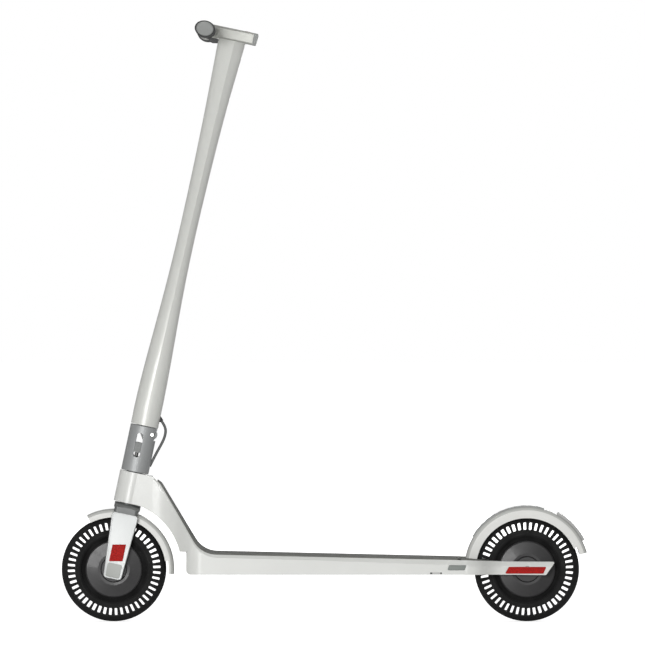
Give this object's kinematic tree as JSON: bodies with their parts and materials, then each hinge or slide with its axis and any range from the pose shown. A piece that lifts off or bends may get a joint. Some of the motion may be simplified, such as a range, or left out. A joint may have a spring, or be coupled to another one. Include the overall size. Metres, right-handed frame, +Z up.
{
  "type": "electric kick scooter",
  "caption": "Folding electric kick scooter with a tapered stem, low flat deck, slotted solid tyres, hub motors in both wheels and a rear fender brake.",
  "frame": {"origin": "on the ground, midway between the front and rear ends, on the middle plane", "axes": "+Z up, -X the way it travels, +Y the rider's right; -Y is the rider's left"},
  "size_m": [0.9581, 0.42, 1.0912],
  "materials": {
    "white_paint": "satin",
    "silver_paint": "satin",
    "dark_paint": "satin",
    "mat_rubber": "matte",
    "tyre": "matte",
    "hub_gloss": "gloss",
    "steel": "satin",
    "dark_plastic": "matte",
    "grey_plastic": "satin",
    "light_plastic": "satin",
    "red_reflector": "gloss",
    "grip_rubber": "matte",
    "clear_lens": "gloss",
    "black_glass": "gloss",
    "cable_rubber": "satin",
    "battery_wrap": "satin",
    "motor_core": "satin",
    "board": "satin",
    "white_paint_plastic": "satin",
    "grey_metal": "satin",
    "hub_dark": "satin"
  },
  "bodies": {
    "frame": {"deck_frame": "white_paint", "deck_mat": "mat_rubber", "bottom_cover": "dark_paint", "bottom_cover_screws": "steel", "battery_pack": "battery_wrap", "motor_controller": "dark_paint", "charge_socket": "dark_plastic", "headset_bearings": "steel", "rear_side_reflectors": "red_reflector", "rear_fender_pin": "steel", "rear_fender_spring": "steel", "kickstand_bracket": "steel", "rear_axle": "steel", "rear_axle_nuts": "steel", "rear_motor_stator": "motor_core"},
    "steerer": {"fork_crown": "dark_paint", "fork_legs": "silver_paint", "front_axle_covers": "grey_plastic", "front_side_reflectors": "red_reflector", "folding_collar": "silver_paint", "stem_hinge_pin": "steel", "slider_guide_rod": "steel", "lock_spring": "steel", "fold_cable": "cable_rubber", "front_fender": "white_paint_plastic", "front_fender_screws": "steel", "front_axle": "steel", "front_axle_nuts": "steel", "front_motor_stator": "motor_core"},
    "front_wheel": {"front_tyre": "tyre", "front_hub_shell": "hub_dark", "front_hub_covers": "hub_gloss", "front_wheel_bearings": "steel"},
    "rear_wheel": {"rear_tyre": "tyre", "rear_hub_shell": "hub_dark", "rear_hub_covers": "hub_gloss", "rear_wheel_bearings": "steel"},
    "slider": {"slider_block": "grey_metal"},
    "stem": {"stem_tube": "white_paint", "stem_knuckle": "dark_paint", "cable_gland": "dark_plastic", "handlebar_pod": "silver_paint", "pod_end_cap": "grey_plastic", "display_lens": "black_glass", "headlight_lens": "clear_lens", "control_board": "board", "handlebar_arms": "silver_paint", "handlebar_tubes": "steel", "grips": "grip_rubber", "grip_end_caps": "grey_plastic"},
    "brake": {"brake_lever": "dark_plastic"},
    "throttle": {"throttle_lever": "dark_plastic"},
    "button": {"power_button": "dark_plastic"},
    "rear_guard": {"rear_fender": "white_paint_plastic", "fender_foot_pad": "mat_rubber", "tail_light_housing": "light_plastic", "tail_light_lens": "red_reflector", "brake_pad": "mat_rubber"},
    "stand": {"kickstand_leg": "dark_paint"},
    "port_flap": {"charge_port_flap": "grey_plastic"}
  },
  "joints": [
    {"name": "steering", "type": "hinge", "parent": "frame", "child": "steerer", "pos_m": [-0.3825, 0, 0.09525], "axis": [0.2079, 0, 0.9781], "range_deg": [-55, 55]},
    {"name": "front_wheel_spin", "type": "hinge", "parent": "steerer", "child": "front_wheel", "pos_m": [-0.3825, 0, 0.09525], "axis": [0, 1, 0], "continuous": true},
    {"name": "rear_wheel_spin", "type": "hinge", "parent": "frame", "child": "rear_wheel", "pos_m": [0.3709, 0, 0.09525], "axis": [0, 1, 0], "continuous": true},
    {"name": "stem_fold", "type": "hinge", "parent": "steerer", "child": "stem", "pos_m": [-0.31306, 0, 0.34016], "axis": [0, 1, 0], "range_deg": [0, 84], "deforming": ["fold_cable"]},
    {"name": "fold_release", "type": "slide", "parent": "steerer", "child": "slider", "axis": [-0.2079, 0, -0.9781], "range_m": [0, 0.0045], "stiffness_N_per_m": 600, "springref_m": -0.004, "deforming": ["lock_spring"]},
    {"name": "brake_lever_press", "type": "hinge", "parent": "stem", "child": "brake", "pos_m": [-0.21388, 0, 1.07613], "axis": [0, 1, 0], "range_deg": [0, 25], "stiffness_Nm_per_rad": 0.4, "springref_deg": -17.19},
    {"name": "throttle_lever_press", "type": "hinge", "parent": "stem", "child": "throttle", "pos_m": [-0.21388, 0, 1.07613], "axis": [0, 1, 0], "range_deg": [0, 25], "stiffness_Nm_per_rad": 0.4, "springref_deg": -17.19},
    {"name": "power_button_press", "type": "slide", "parent": "stem", "child": "button", "axis": [-0.2079, 0, -0.9781], "range_m": [0, 0.0012], "stiffness_N_per_m": 800, "springref_m": -0.001},
    {"name": "rear_fender_brake", "type": "hinge", "parent": "frame", "child": "rear_guard", "pos_m": [0.266, 0, 0.106], "axis": [0, 1, 0], "range_deg": [0, 1.7], "stiffness_Nm_per_rad": 60, "springref_deg": -1.15},
    {"name": "kickstand_swing", "type": "hinge", "parent": "frame", "child": "stand", "pos_m": [-0.14, -0.0595, 0.0964], "axis": [0, 0.9659, -0.2588], "range_deg": [0, 95]},
    {"name": "charge_flap_open", "type": "hinge", "parent": "frame", "child": "port_flap", "pos_m": [0.2425, -0.07425, 0.09615], "axis": [1, 0, 0], "range_deg": [0, 100]}
  ]
}
